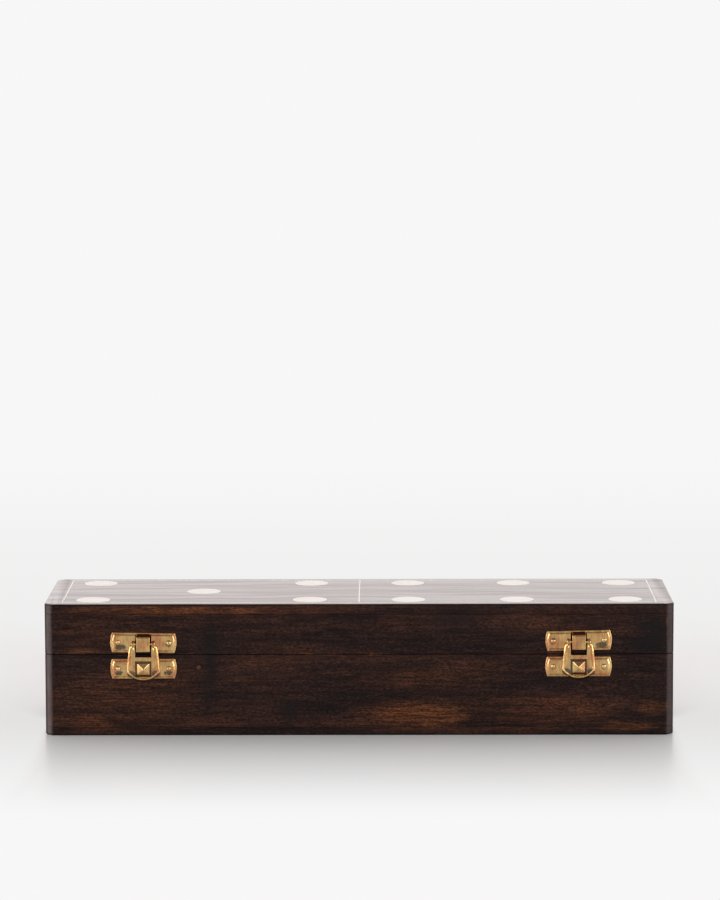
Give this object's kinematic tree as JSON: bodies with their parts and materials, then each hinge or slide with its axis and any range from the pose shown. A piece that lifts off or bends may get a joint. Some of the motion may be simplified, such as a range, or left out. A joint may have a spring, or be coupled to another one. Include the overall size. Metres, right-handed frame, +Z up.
{
  "type": "domino storage box",
  "caption": "Hinged rectangular dark wood storage box for dominoes, with pale inlaid pips and lines on the lid and brass latches.",
  "frame": {"origin": "centre of the underside of the base board", "axes": "+X along the length, to the right when the latches are faced; +Y to the hinged back; +Z up"},
  "size_m": [0.254, 0.0739, 0.0538],
  "materials": {
    "dark_wood": "dark stained hardwood with a thin satin polish, worn at the arrises",
    "bone_inlay": "cream bone-like inlay, sanded and polished flush with the wood",
    "aged_brass": "thin stamped brass, polished and slightly tarnished"
  },
  "bodies": {
    "base": {"base_bottom_board": "dark_wood", "base_front_board": "dark_wood", "base_back_board": "dark_wood", "base_left_board": "dark_wood", "base_right_board": "dark_wood", "left_catch_plate": "aged_brass", "left_catch_plate_nails": "aged_brass", "left_hinge_base_leaf": "aged_brass", "left_hinge_base_nails": "aged_brass", "left_hinge_pin": "aged_brass", "right_catch_plate": "aged_brass", "right_catch_plate_nails": "aged_brass", "right_hinge_base_leaf": "aged_brass", "right_hinge_base_nails": "aged_brass", "right_hinge_pin": "aged_brass"},
    "lid": {"lid_top_board": "dark_wood", "lid_front_rail": "dark_wood", "lid_back_rail": "dark_wood", "lid_left_rail": "dark_wood", "lid_right_rail": "dark_wood", "left_pip_1": "bone_inlay", "left_pip_2": "bone_inlay", "left_pip_3": "bone_inlay", "left_pip_4": "bone_inlay", "left_pip_5": "bone_inlay", "right_pip_1": "bone_inlay", "right_pip_2": "bone_inlay", "right_pip_3": "bone_inlay", "right_pip_4": "bone_inlay", "right_pip_5": "bone_inlay", "right_pip_6": "bone_inlay", "left_end_line": "bone_inlay", "centre_line": "bone_inlay", "right_end_line": "bone_inlay", "front_line": "bone_inlay", "back_line": "bone_inlay", "left_lid_plate": "aged_brass", "left_lid_plate_nails": "aged_brass", "left_latch_pin": "aged_brass", "left_hinge_lid_leaf": "aged_brass", "left_hinge_lid_nails": "aged_brass", "right_lid_plate": "aged_brass", "right_lid_plate_nails": "aged_brass", "right_latch_pin": "aged_brass", "right_hinge_lid_leaf": "aged_brass", "right_hinge_lid_nails": "aged_brass"},
    "left_hasp": {"left_hasp": "aged_brass"},
    "right_hasp": {"right_hasp": "aged_brass"}
  },
  "joints": [
    {"name": "lid_hinge", "type": "hinge", "parent": "base", "child": "lid", "pos_m": [0, 0.0354, 0.0332], "axis": [-1, 0, 0], "range_deg": [0, 180]},
    {"name": "left_hasp_hinge", "type": "hinge", "parent": "lid", "child": "left_hasp", "pos_m": [-0.087, -0.0356, 0.0378], "axis": [-1, 0, 0], "range_deg": [0, 180]},
    {"name": "right_hasp_hinge", "type": "hinge", "parent": "lid", "child": "right_hasp", "pos_m": [0.0885, -0.0356, 0.0385], "axis": [-1, 0, 0], "range_deg": [0, 180]}
  ]
}
